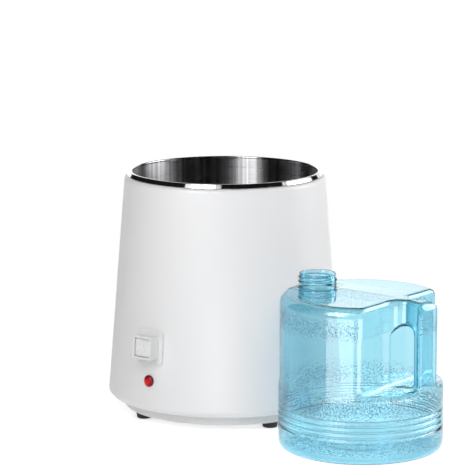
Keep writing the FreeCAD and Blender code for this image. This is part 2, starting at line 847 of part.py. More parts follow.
for u, v in pin_spots(outlet_u):
    slot_wide = pin_wide + 2 * slot_gap
    slot_tall = pin_tall + 2 * slot_gap
    outlet = outlet.cut(block(slot_wide, slot_tall, -socket_body_in - 1, cavity_high, u=u, v=v))
    contacts.append(block(pin_wide, pin_tall, tab_tip, cavity_low, u=u, v=v))
save("power_inlet", put(inlet.removeSplitter(), socket_place))
save("fan_outlet", put(outlet.removeSplitter(), socket_place))
save("inlet_pins", put(group(pins), socket_place))
save("outlet_contacts", put(group(contacts), socket_place))


def socket_screw(u, v):
    dome = turned(
        [(0, 0), (screw_head_r, 0), (screw_head_r, socket_screw_head), (0, socket_screw_head)],
        [0, 0, 1.2, 0],
    )
    dome.translate(vec(u, v, socket_front))
    return dome.fuse(rod(screw_r, socket_front - socket_screw_long, socket_front, u, v))


screw_spots = [(side * socket_spread, end * socket_screw_pitch / 2) for side in (-1, 1) for end in (-1, 1)]
save("socket_screws", put(group([socket_screw(u, v) for u, v in screw_spots]), socket_place))

# ================================================================ wires inside the base
# Every lead ends flat against its blade: the route points run from one blade to the other.
blade_tip = -switch_body_in - switch_blade_long


def wire(points):
    return swept(path_wire(points), wire_r)


def ring_points(first, last, count):
    """Route points round the base, between the chamber and the tray."""
    step = (last - first) / (count - 1)
    return [vec(*polar(loop_r, first + step * i), loop_z) for i in range(count)]


def way(circle_r, margin, azimuth, rise):
    """Route point off a circle of fixings, at a rise above the tray's rod bosses."""
    return vec(*polar(circle_r + margin, azimuth), rod_boss_top_z + rise)


def socket_start(u, v, reach=10):
    """A lead leaves its tab straight inwards."""
    return [socket_place.multVec(vec(u, v, tab_tip)), socket_place.multVec(vec(u, v, tab_tip - reach))]


def switch_start(u):
    """A lead leaves the side of its blade straight down the wall."""
    low = -blade_thick / 2
    out = blade_tip + wire_r + 0.4
    return [switch_place.multVec(vec(u, low, out)), switch_place.multVec(vec(u, low - 22, out))]


def blade_end(tip, side, drop):
    """A lead comes in square to the element's spade, from the back (1) or the front (-1)."""
    face = tip + vec(0, side * blade_thick / 2, -drop)
    return [face + vec(0, side * 12, 0), face]


thermostat_tip_z = clamp_low - blade_long
thermostat_tips = [vec(side * thermostat_blade_x, 0, thermostat_tip_z) for side in (-1, 1)]
supply_live = wire(
    socket_start(inlet_u, pin_pitch, 20)
    + [way(rod_circle_r, 6.2, 85.5, loop_z + 4 - rod_boss_top_z)]
    + ring_points(112, 212, 5)
    + switch_start(-switch_blade_x)[::-1]
)
switched_live = wire(
    switch_start(switch_blade_x)
    + [way(rod_circle_r, -7.7, 227.6, 10), way(stud_circle_r, -14.7, 221.2, 8)]
    + [thermostat_tips[0] - vec(0, 0, 9), thermostat_tips[0]]
)
to_fuse = wire(
    [thermostat_tips[1], thermostat_tips[1] - vec(0, 0, 9)]
    + [way(stud_circle_r, -9.7, 8.7, 12)]
    + [fuse_ends[1] + fuse_along * 14 - vec(0, 0, 6), fuse_ends[1] + fuse_along * 7, fuse_ends[1]]
)
from_fuse = wire(
    [fuse_ends[0], fuse_ends[0] - fuse_along * 9]
    + [way(rod_circle_r, -10, 300, 8), way(rod_circle_r, -1, 286.9, -1)]
    + blade_end(live_tip, -1, 4)
)
fan_live = wire(
    socket_start(outlet_u, pin_pitch)
    + [way(rod_circle_r, -4.9, 100.6, 12)]
    + [way(stud_circle_r, -8.8, 72.9, 4), way(stud_circle_r, -16, 323, 0)]
    + blade_end(live_tip, 1, 3)
)
supply_neutral = wire(
    socket_start(inlet_u, -pin_pitch)
    + [way(rod_circle_r, -7.4, 73.3, 8)]
    + [way(stud_circle_r, -15.9, 84.3, -2), way(stud_circle_r, -19.9, 240.3, -4)]
    + blade_end(neutral_tip, 1, 3)
)
fan_neutral = wire(
    socket_start(outlet_u, -pin_pitch)
    + [way(rod_circle_r, -8, 110.8, 6)]
    + [way(stud_circle_r, -3.2, 142.4, -6), way(stud_circle_r, -11.6, 215, -9)]
    + blade_end(neutral_tip, 1, 8)
)


def lamp_lead(u, tip, drop, rise):
    start = [lamp_place.multVec(vec(u, 0, holder_low)), lamp_place.multVec(vec(u, 0, holder_low - 7))]
    rod_x, rod_y = polar(rod_circle_r, rod_azimuths[2])
    behind = rod_y - rod_r - lead_rod_gap
    low = rod_boss_top_z + rise
    route = [vec(rod_x + 1, behind - 2 * u, low), vec(tip.x / 2 - 6, behind + 2 - u, low - 6)]
    return wire(start + route + blade_end(tip, -1, drop))


save("live_wires", group([supply_live, switched_live, to_fuse, from_fuse, fan_live]))
save("neutral_wires", group([supply_neutral, fan_neutral]))
save("lamp_wires", group([lamp_lead(2.0, live_tip, 8, 1), lamp_lead(-2.0, neutral_tip, 4, 5)]))


def earth_lug(azimuth, heading):
    """Ring tag on a tie rod, on top of its boss, with its barrel at a heading."""
    low = rod_boss_top_z
    x, y = polar(rod_circle_r, azimuth)
    tag = rod(5.2, low, low + 0.8).fuse(block(11, 4.4, low, low + 0.8, u=5.5))
    tag = tag.fuse(block(4, 4.4, low, low + 2 * wire_r + 0.6, 0.8, u=10))
    tag = tag.cut(rod(rod_r + stud_hole_gap / 2, low - 1, low + 4))
    tag.rotate(vec(0, 0, 0), vec(0, 0, 1), heading)
    tag.translate(vec(x, y, 0))
    return tag.removeSplitter()


def lug_end(azimuth, heading):
    x, y = polar(rod_circle_r, azimuth)
    dx, dy = polar(1, heading)
    height = rod_boss_top_z + wire_r + 0.3
    return [vec(x + dx * reach, y + dy * reach, height) for reach in (22, 12)]


inlet_lug = (rod_azimuths[0], 90.0)
outlet_lug = (rod_azimuths[1], 60.0)
save("earth_lugs", group([earth_lug(*inlet_lug), earth_lug(*outlet_lug)]))
inlet_earth = wire(
    socket_start(inlet_u + pin_earth_shift, 0)
    + [way(rod_circle_r, 1.7, 59.9, 8), way(rod_circle_r, 3.8, 32.8, 2)]
    + lug_end(*inlet_lug)
)
outlet_earth = wire(socket_start(outlet_u + pin_earth_shift, 0, 7) + lug_end(*outlet_lug))
save("earth_wires", group([inlet_earth, outlet_earth]))


# ================================================================ collecting jug
# Blow-moulded clear jug. Its own X runs from the neck to the handle.
def jug_round(inset):
    """Round form of the jug, without its handle bays, inset by a thickness."""
    side = jug_body_r - inset
    deck = jug_deck_z - inset
    if inset:
        points = [(0, jug_punt_rise + inset), (jug_punt_r, jug_punt_rise + inset), (jug_punt_r + 4, inset)]
        points += [(side, inset), (side, deck), (0, deck)]
        return turned(points, [0, 2, 2, jug_foot_r - inset, jug_shoulder_r - inset, 0])
    points = [(0, jug_punt_rise), (jug_punt_r, jug_punt_rise), (jug_punt_r + 4, 0), (jug_band_r, 0)]
    radii = [0, 2, 1, jug_foot_r]
    for i in range(rib_count):
        height = rib_first_z + i * rib_pitch
        points += [(jug_band_r, height - rib_tall / 2), (jug_band_r - rib_deep, height)]
        points += [(jug_band_r, height + rib_tall / 2)]
        radii += [0.4, 0.8, 0.4]
    points += [(jug_band_r, jug_band_top_z), (side, jug_step_z), (side, deck), (0, deck)]
    return turned(points, radii + [2, 2, jug_shoulder_r, 0])


def bay(side, inset):
    """Finger bay on one side of the handle: open air that the form leaves out."""
    far = 2 * jug_band_r
    slope = (column_half - web_half) / (column_turn_s - eye_outer_s)
    points = [
        (bay_wall_s, far),
        (bay_wall_s, web_half),
        (eye_outer_s, web_half),
        (far, web_half + slope * (far - eye_outer_s)),
        (far, far),
    ]
    outline = rounded_wire(points, [0, bay_corner_r, 4.0, 0, 0])
    face = Part.Face(outline)
    if inset:
        face = face.makeOffset2D(inset, 0, False, False)
    prism = face.extrude(vec(0, 0, jug_deck_z))
    prism.translate(vec(0, 0, jug_step_z - inset))
    if side < 0:
        prism = prism.mirror(vec(0, 0, 0), vec(0, 1, 0))
    return prism


def eye(inset):
    """The hole through the web behind the handle."""
    low = jug_step_z - inset
    left = bay_wall_s - inset
    right = eye_outer_s + inset
    top = eye_top_z + inset
    points = [(left, low), (right, low), (right, top), (left, top)]
    outline = rounded_wire(points, [0, 2.0, eye_corner_r + inset, 3.0], upright=True)
    prism = Part.Face(outline).extrude(vec(0, 6 * web_half, 0))
    prism.translate(vec(0, -3 * web_half, 0))
    return prism


def soften(form, inset):
    """Round the lip that runs up, over and down again along each bay's mouth."""
    deck = jug_deck_z - inset
    side = jug_body_r - inset
    lip = []
    for edge in form.Edges:
        middle = edge.valueAt((edge.FirstParameter + edge.LastParameter) / 2)
        out_r = math.hypot(middle.x, middle.y)
        beside_bay = middle.x > bay_wall_s - bay_corner_r and middle.z > jug_step_z + lip_r
        on_deck = edge.BoundBox.ZMin > deck - 0.1 and out_r < side - lip_r
        on_side = out_r > side - jug_shoulder_r and edge.BoundBox.ZLength > lip_r
        if beside_bay and (on_deck or on_side) and abs(middle.y) > 1:
            lip.append(edge)
    return form.makeFillet(lip_r - inset, lip)


def jug_form(inset):
    form = jug_round(inset)
    for side in (-1, 1):
        form = form.cut(bay(side, inset))
    return soften(form.cut(eye(inset)), inset)


jug_outer = jug_form(0)
neck_low = jug_deck_z - 2 * jug_wall
jug_outer = jug_outer.fuse(rod(neck_r, neck_low + jug_wall, neck_top_z, neck_s, 0)).removeSplitter()
jug_inner = jug_form(jug_wall).fuse(rod(neck_r - neck_wall, neck_low, neck_top_z + 1, neck_s, 0))
thread = Part.makeHelix(thread_pitch, thread_pitch * thread_turns, neck_r)
thread_ring = Part.Wire([Part.makeCircle(thread_r, vec(neck_r, 0, 0), vec(0, 1, 0))])
thread = Part.Wire(thread.Edges).makePipeShell([thread_ring], True, True)
thread.translate(vec(neck_s, 0, neck_top_z - thread_pitch * thread_turns - thread_below_lip))
water_jug = jug_outer.fuse(thread).cut(jug_inner)
save("water_jug", water_jug, jug_place)
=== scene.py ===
import math

import bpy
import numpy as np
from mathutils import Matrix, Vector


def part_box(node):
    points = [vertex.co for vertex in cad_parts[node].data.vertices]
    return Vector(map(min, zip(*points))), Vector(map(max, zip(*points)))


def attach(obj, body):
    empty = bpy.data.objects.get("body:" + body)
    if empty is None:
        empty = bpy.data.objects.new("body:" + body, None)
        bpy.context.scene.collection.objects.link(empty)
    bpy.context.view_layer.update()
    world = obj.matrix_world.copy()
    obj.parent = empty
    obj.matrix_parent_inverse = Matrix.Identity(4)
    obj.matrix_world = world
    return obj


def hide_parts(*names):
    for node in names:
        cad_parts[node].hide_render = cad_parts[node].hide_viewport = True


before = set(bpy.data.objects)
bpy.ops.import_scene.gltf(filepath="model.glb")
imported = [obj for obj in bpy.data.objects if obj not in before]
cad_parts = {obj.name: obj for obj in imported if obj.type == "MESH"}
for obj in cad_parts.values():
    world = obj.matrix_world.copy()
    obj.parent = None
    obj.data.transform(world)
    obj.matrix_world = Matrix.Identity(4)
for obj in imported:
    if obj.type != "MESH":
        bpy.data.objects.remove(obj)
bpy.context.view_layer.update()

# ---------------------------------------------------------------- feet
# Four moulded pads of black EPDM rubber, each held under the tray by one zinc plated
# pan-head screw up its middle.


def linear(code):
    """Turns an sRGB hex colour into the linear four numbers that a shader wants."""
    parts = [int(code[i:i + 2], 16) / 255 for i in (0, 2, 4)]
    return [c / 12.92 if c <= 0.04045 else ((c + 0.055) / 1.055) ** 2.4 for c in parts] + [1.0]


def add(tree, kind, inputs=None, **settings):
    """Adds one node with its settings, and gives each named input its value or its link."""
    node = tree.nodes.new("ShaderNode" + kind)
    for name, value in settings.items():
        setattr(node, name, value)
    for name, value in (inputs or {}).items():
        if isinstance(value, bpy.types.NodeSocket):
            tree.links.new(value, node.inputs[name])
        else:
            node.inputs[name].default_value = value
    return node


def blank(name):
    """A new material with an empty node tree."""
    material = bpy.data.materials.new(name)
    material.use_nodes = True
    material.node_tree.nodes.clear()
    return material, material.node_tree


def moulded(name, code, roughness, grain_mm, relief_mm):
    """Moulded polymer: spark-eroded grain as fine relief, and a slow drift of tone and gloss.
    Real grain is 0.1 to 0.3 mm, and it is drawn as coarse as it needs to be to show."""
    material, tree = blank(name)
    place = add(tree, "TexCoord").outputs["Object"]
    grain = add(tree, "TexNoise", {"Vector": place, "Scale": 1000 / grain_mm, "Detail": 3.0})
    drift = add(tree, "TexNoise", {"Vector": place, "Scale": 1000 / 35, "Detail": 2.0})
    pale = linear(code)
    tone = add(tree, "Mix", {0: drift.outputs["Fac"], 6: [c * 0.93 for c in pale[:3]] + [1.0], 7: pale},
               data_type="RGBA")
    gloss = add(tree, "MapRange", {"Value": grain.outputs["Fac"], "From Min": 0.3, "From Max": 0.7,
                                   "To Min": roughness - 0.05, "To Max": roughness + 0.07})
    relief = add(tree, "Bump", {"Height": grain.outputs["Fac"], "Strength": 0.6,
                                "Distance": relief_mm / 1000})
    shader = add(tree, "BsdfPrincipled", {"Base Color": tone.outputs[2], "Roughness": gloss.outputs[0],
                                          "Normal": relief.outputs[0], "IOR": 1.5})
    add(tree, "OutputMaterial", {"Surface": shader.outputs[0]})
    return material


def metal(name, code, roughness, grain_mm, stretch, relief_mm):
    """Plain metal: drawing or rolling lines stretched along the long side, with a varying gloss.
    Real lines are about 0.05 mm apart, and they are drawn as coarse as they need to be to show."""
    material, tree = blank(name)
    place = add(tree, "TexCoord").outputs["Object"]
    lined = add(tree, "Mapping", {"Vector": place, "Scale": stretch})
    grain = add(tree, "TexNoise", {"Vector": lined.outputs[0], "Scale": 1000 / grain_mm, "Detail": 4.0})
    pale = linear(code)
    tone = add(tree, "Mix", {0: grain.outputs["Fac"], 6: [c * 0.8 for c in pale[:3]] + [1.0], 7: pale},
               data_type="RGBA")
    gloss = add(tree, "MapRange", {"Value": grain.outputs["Fac"], "From Min": 0.3, "From Max": 0.7,
                                   "To Min": roughness - 0.06, "To Max": roughness + 0.08})
    relief = add(tree, "Bump", {"Height": grain.outputs["Fac"], "Strength": 0.5,
                                "Distance": relief_mm / 1000})
    shader = add(tree, "BsdfPrincipled", {"Base Color": tone.outputs[2], "Metallic": 1.0,
                                          "Roughness": gloss.outputs[0], "Normal": relief.outputs[0]})
    add(tree, "OutputMaterial", {"Surface": shader.outputs[0]})
    return material


def dress(material, *names):
    """Gives CAD nodes their finish."""
    for name in names:
        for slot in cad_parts[name].material_slots:
            slot.material = material


# EPDM rubber, compression moulded: soft black with a dull, slightly dusty face.
epdm_rubber = moulded("moulded_epdm_rubber", "1b1b1c", 0.72, 0.9, 0.05)
# Zinc plate, bright and passivated: cool grey with a faint cloudiness.
zinc_plate = metal("zinc_plated_steel", "b9bcc2", 0.3, 1.2, (1, 1, 1), 0.01)
dress(epdm_rubber, "rubber_feet")
dress(zinc_plate, "foot_screws")

# ---------------------------------------------------------------- base tray
# Injection moulded white ABS tray that closes the bottom of the housing and carries the
# feet. Four screws and nuts hold it to the housing's foot flange.

# White ABS, spark-eroded in the mould: satin, with a grain that only catches grazing light.
white_abs = moulded("moulded_white_abs", "eeeeee", 0.42, 0.8, 0.02)
dress(white_abs, "base_tray")
dress(zinc_plate, "housing_screws", "housing_nuts")

# ---------------------------------------------------------------- outer housing
# Tapered shell spun from 1 mm mild steel sheet and powder coated matt white, with holes cut
# for the switch, the lamp and the sockets. Its foot flange is screwed to the tray.


def powder_coat(name, code):
    """Powder coat: fine orange peel at about a millimetre, with sparse finer specks."""
    material, tree = blank(name)
    place = add(tree, "TexCoord").outputs["Object"]
    peel = add(tree, "TexNoise", {"Vector": place, "Scale": 1000 / 1.4, "Detail": 2.0, "Roughness": 0.4})
    speck = add(tree, "TexNoise", {"Vector": place, "Scale": 1000 / 0.5, "Detail": 2.0})
    drift = add(tree, "TexNoise", {"Vector": place, "Scale": 1000 / 60, "Detail": 2.0})
    height = add(tree, "Math", {0: peel.outputs["Fac"], 1: speck.outputs["Fac"]}, operation="ADD")
    pale = linear(code)
    tone = add(tree, "Mix", {0: drift.outputs["Fac"], 6: [c * 0.975 for c in pale[:3]] + [1.0], 7: pale},
               data_type="RGBA")
    gloss = add(tree, "MapRange", {"Value": peel.outputs["Fac"], "From Min": 0.3, "From Max": 0.7,
                                   "To Min": 0.4, "To Max": 0.52})
    relief = add(tree, "Bump", {"Height": height.outputs[0], "Strength": 0.5, "Distance": 0.03 / 1000})
    shader = add(tree, "BsdfPrincipled", {"Base Color": tone.outputs[2], "Roughness": gloss.outputs[0],
                                          "Normal": relief.outputs[0], "IOR": 1.5})
    add(tree, "OutputMaterial", {"Surface": shader.outputs[0]})
    return material


# Polyester powder coat, oven cured: matt white, reads almost flat in soft light.
dress(powder_coat("powder_coated_steel", "f0f0f1"), "outer_housing")

# ---------------------------------------------------------------- boiling chamber
# Deep-drawn 304 stainless bowl, brushed round and round inside, with a bright polished
# rim rolled over the housing. Three tie rods pull it down on the housing.
mm = 0.001
chamber_low, chamber_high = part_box("boiling_chamber")
unit_x = (chamber_low.x + chamber_high.x) / 2
unit_y = (chamber_low.y + chamber_high.y) / 2
rim_zone = 1.8 * mm
chamber_bore_r = 90.6 * mm
scratch_mm = 0.45
streaks_round = 26.0


def brushed_steel(name, code):
    """Steel brushed in rings: scratches run round the axis, so they vary with height and radius
    only, and fade into a slow drift round it. Real ones are about 0.1 mm apart, and they are
    drawn at 0.45 mm so that they show. Faint streaks down the wall are left by the drawing."""
    material, tree = blank(name)
    place = add(tree, "TexCoord").outputs["Object"]
    centred = add(tree, "Mapping", {"Vector": place, "Location": (-unit_x, -unit_y, 0)})
    flat = add(tree, "VectorMath", {0: centred.outputs[0], 1: (1, 1, 0)}, operation="MULTIPLY")
    radius = add(tree, "VectorMath", {0: flat.outputs[0]}, operation="LENGTH")
    apart = add(tree, "SeparateXYZ", {0: centred.outputs[0]})
    travel = add(tree, "Math", {0: radius.outputs["Value"], 1: apart.outputs[2]}, operation="ADD")
    unit = add(tree, "VectorMath", {0: flat.outputs[0]}, operation="NORMALIZE")
    pair = add(tree, "SeparateXYZ", {0: unit.outputs[0]})
    ring = add(tree, "CombineXYZ", {0: pair.outputs[0], 1: pair.outputs[1]})
    slow = add(tree, "VectorMath", {0: ring.outputs[0], "Scale": 2.5}, operation="SCALE")
    fast = add(tree, "Math", {0: travel.outputs[0], 1: 1000 / scratch_mm}, operation="MULTIPLY")
    deep = add(tree, "CombineXYZ", {2: fast.outputs[0]})
    where = add(tree, "VectorMath", {0: slow.outputs[0], 1: deep.outputs[0]}, operation="ADD")
    scratch = add(tree, "TexNoise", {"Vector": where.outputs[0], "Scale": 1.0, "Detail": 4.0,
                                     "Roughness": 0.7})
    lip = add(tree, "MapRange", {"Value": apart.outputs[2], "From Min": chamber_high.z - rim_zone - 0.6 * mm,
                                 "From Max": chamber_high.z - rim_zone})
    roll = add(tree, "MapRange", {"Value": radius.outputs["Value"], "From Min": chamber_bore_r + 0.8 * mm,
                                  "From Max": chamber_bore_r + 1.6 * mm})
    polished = add(tree, "Math", {0: lip.outputs[0], 1: roll.outputs[0]}, operation="MAXIMUM")
    round_it = add(tree, "VectorMath", {0: ring.outputs[0], "Scale": streaks_round}, operation="SCALE")
    draw = add(tree, "TexNoise", {"Vector": round_it.outputs[0], "Scale": 1.0, "Detail": 3.0})
    drawn = add(tree, "MapRange", {"Value": draw.outputs["Fac"], "From Min": 0.35, "From Max": 0.65,
                                   "To Min": 0.5, "To Max": 1.0})
    pale = linear(code)
    tone = add(tree, "Mix", {0: scratch.outputs["Fac"], 6: [c * 0.7 for c in pale[:3]] + [1.0], 7: pale},
               data_type="RGBA")
    lined = add(tree, "VectorMath", {0: tone.outputs[2], "Scale": drawn.outputs[0]}, operation="SCALE")
    brushed = add(tree, "MapRange", {"Value": scratch.outputs["Fac"], "From Min": 0.3, "From Max": 0.7,
                                     "To Min": 0.26, "To Max": 0.33})
    gloss = add(tree, "Mix", {0: polished.outputs[0], 2: brushed.outputs[0], 3: 0.08}, data_type="FLOAT")
    depth = add(tree, "Mix", {0: polished.outputs[0], 2: 0.6, 3: 0.01}, data_type="FLOAT")
    relief = add(tree, "Bump", {"Height": scratch.outputs["Fac"], "Strength": depth.outputs[0],
                                "Distance": 0.06 * mm})
    round_way = add(tree, "Tangent", direction_type="RADIAL", axis="Z")
    shader = add(tree, "BsdfPrincipled", {"Base Color": lined.outputs[0], "Metallic": 1.0, "Anisotropic": 1.0,
                                          "Anisotropic Rotation": 0.25,
                                          "Roughness": gloss.outputs[0], "Normal": relief.outputs[0],
                                          "Tangent": round_way.outputs[0]})
    add(tree, "OutputMaterial", {"Surface": shader.outputs[0]})
    return material


# 304 stainless, ring brushed: dark with long vertical glints, and a mirror-bright rim.
stainless = brushed_steel("brushed_stainless_304", "c6c6c8")
dress(stainless, "boiling_chamber")
dress(zinc_plate, "tie_rods", "tie_rod_nuts")

# ---------------------------------------------------------------- heater under the chamber
# Sheathed ring element clamped up to an aluminium spreader by a ring, studs and nuts, with
# its thermostat on a spring spider, its thermal fuse and the felt wrapped round the chamber.

# Rolled aluminium: pale and satin, with faint lines the way it was rolled.
rolled_aluminium = metal("rolled_aluminium", "c9ccd0", 0.38, 0.8, (0.05, 1, 1), 0.02)
# Element sheath, steel browned by heat: dark, warm and dull.
heat_tinted = metal("heat_tinted_steel_sheath", "5f5a52", 0.45, 1.5, (1, 1, 1), 0.02)
# Spring steel strip, rolled and blued: grey with a soft sheen.
spring_steel = metal("blued_spring_steel", "8b8d92", 0.33, 0.8, (0.1, 1, 1), 0.01)
# Tinned brass, stamped: pale yellow-grey and bright.
tinned_brass = metal("tinned_brass", "c9bb86", 0.28, 0.6, (1, 0.2, 1), 0.01)
# Tinplate, drawn to a small case: cool grey and bright.
fuse_case = metal("drawn_tinplate", "b8b6ae", 0.3, 0.6, (1, 1, 1), 0.01)
# Phenolic, compression moulded: brown-black with a low gloss.
phenolic = moulded("moulded_phenolic", "201d1b", 0.38, 0.5, 0.01)
# Glass fibre felt, needled: off-white, soft and quite without gloss.
felt = moulded("needled_glass_fibre_felt", "dedbcc", 0.95, 1.6, 0.6)
dress(rolled_aluminium, "heater_plate")
dress(heat_tinted, "heating_element")
dress(spring_steel, "thermostat_spider")
dress(tinned_brass, "element_terminals", "thermostat_terminals")
dress(fuse_case, "thermal_fuse")
dress(phenolic, "boil_dry_thermostat")
dress(felt, "insulation_wrap")
dress(zinc_plate, "heater_clamp_ring", "chamber_studs", "stud_nuts")

# ---------------------------------------------------------------- push switch
# Square box of white ABS on a flange, with a sleeve through the housing's wall, a phenolic
# switch body in the sleeve, and a push button that a leaf spring pushes out. The word ON is
# moulded in the button's face, as low rounded ridges that stand proud of it.
dress(white_abs, "switch_housing", "switch_button")
dress(phenolic, "switch_body")
dress(spring_steel, "switch_spring")
dress(tinned_brass, "switch_terminals")

# The way that the wall faces at the switch and the lamp, and from it the face of the button.
wall_out = -np.array([0.620523, 0.780104, -0.079928])
button_up = np.array([0, 0, 1]) - wall_out[2] * wall_out
button_up = button_up / np.linalg.norm(button_up)
button_right = np.cross(button_up, wall_out)
corners = np.array([v.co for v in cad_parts["switch_button"].data.vertices])
face = corners[corners @ wall_out > (corners @ wall_out).max() - 0.1 * mm]
face_middle = (face.min(0) + face.max(0)) / 2

# Sizes of the letters, in mm.
stroke_wide = 1.0
stroke_high = 0.5
stroke_sunk = 0.05
letter_half = 2.6
ring_middle = -3.4
ring_half = 2.2
leg_near, leg_far = 1.4, 5.0
stroke_sides = 12


def raised_stroke(path, closed):
    """Letter stroke: half an ellipse, a little sunk, carried along a path on the face. At each
    point of the path it stands square to the path, and the ridge of an open path draws in as a
    square root over its last five points, where flat ends close it."""
    count = len(path)
    steps = np.arange(count)
    if closed:
        along = np.roll(path, -1, 0) - np.roll(path, 1, 0)
        full = np.ones(count)
    else:
        along = np.gradient(path, axis=0)
        full = np.sqrt(np.clip(np.minimum(steps, count - 1 - steps) / 5, 0.06, 1))
    along = along / np.linalg.norm(along, axis=1)[:, None]
    across = np.stack([along[:, 1], -along[:, 0]], 1)
    around = np.arange(stroke_sides) / stroke_sides * 2 * np.pi
    side = stroke_wide / 2 * full[:, None] * np.cos(around)
    lift = np.maximum(stroke_high * full[:, None] * np.sin(around), -stroke_sunk)
    flat = path[:, None, :] + across[:, None, :] * side[:, :, None]
    points = face_middle + mm * (flat[..., :1] * button_right + flat[..., 1:] * button_up
                                 + lift[..., None] * wall_out)
    row, column = np.meshgrid(steps if closed else steps[:-1], np.arange(stroke_sides), indexing="ij")
    start = row * stroke_sides
    ahead = (row + 1) % count * stroke_sides
    beside = (column + 1) % stroke_sides
    quads = np.stack([start + column, ahead + column, ahead + beside, start + beside], 2)
    faces = quads.reshape(-1, 4).tolist()
    if not closed:
        last = count * stroke_sides
        faces += [list(range(stroke_sides)), list(range(last - 1, last - stroke_sides - 1, -1))]
    return points.reshape(-1, 3), faces


ring_angle = np.arange(48) / 48 * 2 * np.pi
ring_path = np.stack([ring_middle + ring_half * np.cos(ring_angle), letter_half * np.sin(ring_angle)], 1)
stops = np.array([[leg_near, -letter_half], [leg_near, letter_half], [leg_far, -letter_half],
                  [leg_far, letter_half]])
fine = np.linspace(0, 3, 76)
zigzag_path = np.stack([np.interp(fine, np.arange(4), stops[:, d]) for d in (0, 1)], 1)
# Three passes of a short average round the corners.
for _ in range(3):
    zigzag_path[1:-1] = (zigzag_path[:-2] + 2 * zigzag_path[1:-1] + zigzag_path[2:]) / 4
for name, path, closed in (("letter_ring", ring_path, True), ("letter_zigzag", zigzag_path, False)):
    points, faces = raised_stroke(path, closed)
    letter_mesh = bpy.data.meshes.new(name)
    letter_mesh.from_pydata(points.tolist(), [], faces)
    letter_mesh.shade_smooth()
    letter_mesh.materials.append(white_abs)
    letter = bpy.data.objects.new(name, letter_mesh)
    bpy.context.scene.collection.objects.link(letter)
    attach(letter, "push_button")

# ---------------------------------------------------------------- pilot lamp
# Domed red acrylic lens, moulded with a hollow barrel round the neon bulb, pushed through
# the housing from outside and held inside by a nylon ring nut and holder.
# The lens's bright spot is a painted glow, set a little below its middle; the deeper red toward its top and
# rim is partly thicker plastic and partly painted shade.
painted_glow_drop = 1.2 * mm
painted_glow_r = 1.6 * mm
rim_r = 6.0 * mm


def clear_tinted(name, code, deep, piece, roughness, clear):
    """Clear tinted moulding: the tint deepens with distance from a line square to the wall, a
    little below the piece's middle. This is partly the rim having more of the piece for light to
    cross, and partly painted light: a painted glow low in the middle and painted shade toward
    the top and rim. The skin has a faint ripple."""
    material, tree = blank(name)
    place = add(tree, "TexCoord").outputs["Object"]
    low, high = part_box(piece)
    start = [(a + b) / 2 for a, b in zip(low, high)]
    start[2] -= painted_glow_drop
    apart = add(tree, "VectorMath", {0: place, 1: start}, operation="SUBTRACT")
    swept = add(tree, "VectorMath", {0: apart.outputs[0], 1: wall_out.tolist()}, operation="CROSS_PRODUCT")
    reach = add(tree, "VectorMath", {0: swept.outputs[0]}, operation="LENGTH")
    rim = add(tree, "MapRange", {"Value": reach.outputs["Value"], "From Min": painted_glow_r, "From Max": rim_r})
    tone = add(tree, "Mix", {0: rim.outputs[0], 6: linear(code), 7: linear(deep)}, data_type="RGBA")
    ripple = add(tree, "TexNoise", {"Vector": place, "Scale": 1000 / 6, "Detail": 2.0})
    relief = add(tree, "Bump", {"Height": ripple.outputs["Fac"], "Strength": 0.4, "Distance": 0.01 / 1000})
    shader = add(tree, "BsdfPrincipled", {"Base Color": tone.outputs[2], "Roughness": roughness, "IOR": 1.49,
                                          "Specular IOR Level": 0.12, "Transmission Weight": clear,
                                          "Normal": relief.outputs[0]})
    add(tree, "OutputMaterial", {"Surface": shader.outputs[0]})
    return material


# Red acrylic, moulded: a painted glow low in the middle, and deep red at the rim that is partly thicker
# plastic and partly painted shade, with a soft gloss.
dress(clear_tinted("red_acrylic", "f51420", "5c0006", "lamp_lens", 0.3, 0.2), "lamp_lens")
# Soda-lime glass, blown: clear, and hardly seen behind the lens, with the same faint painted glow and shade.
dress(clear_tinted("clear_soda_glass", "f6f4f0", "e6e4da", "neon_bulb", 0.04, 1.0), "neon_bulb")
# Nylon 66, moulded: black and satin with a fine grain.
black_nylon = moulded("moulded_black_nylon", "222224", 0.4, 0.7, 0.02)
dress(black_nylon, "lamp_nut", "lamp_holder")

# ---------------------------------------------------------------- sockets at the back
# Supply inlet and fan outlet of black nylon, with tinned brass pins and contacts, each held
# by two screws on a white ABS panel that gives them a flat seat on the tapered wall.
dress(white_abs, "socket_panel")
dress(black_nylon, "power_inlet", "fan_outlet")
dress(tinned_brass, "inlet_pins", "outlet_contacts")
dress(zinc_plate, "socket_screws")

# ---------------------------------------------------------------- wiring
# Leads with extruded covers of silicone rubber, from the sockets to the switch, lamp,
# thermostat, fuse and element. They end at blades, at the fuse and at the lamp's holder,
# and the earth leads at lugs round two of the tie rods.
dress(tinned_brass, "earth_lugs")

# Silicone rubber, extruded: soft and satin, a colour for each job.
for colour, code, name in (("brown", "4a2b1a", "live_wires"), ("blue", "23509a", "neutral_wires"),
                           ("red", "9c2218", "lamp_wires"), ("green", "4c8a2c", "earth_wires")):
    dress(moulded(colour + "_silicone_rubber", code, 0.5, 1.2, 0.02), name)

# ---------------------------------------------------------------- water jug
# Blow-moulded jug of light blue clear PET with ribs round its lower half, a deck with a
# threaded neck, and a handle left standing between two finger bays. It stands loose beside
# the base unit.
jug_low, jug_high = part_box("water_jug")
jug_x = (jug_low.x + jug_high.x) / 2 / mm
jug_y = (jug_low.y + jug_high.y) / 2 / mm
handle_turn = math.radians(-36.0)

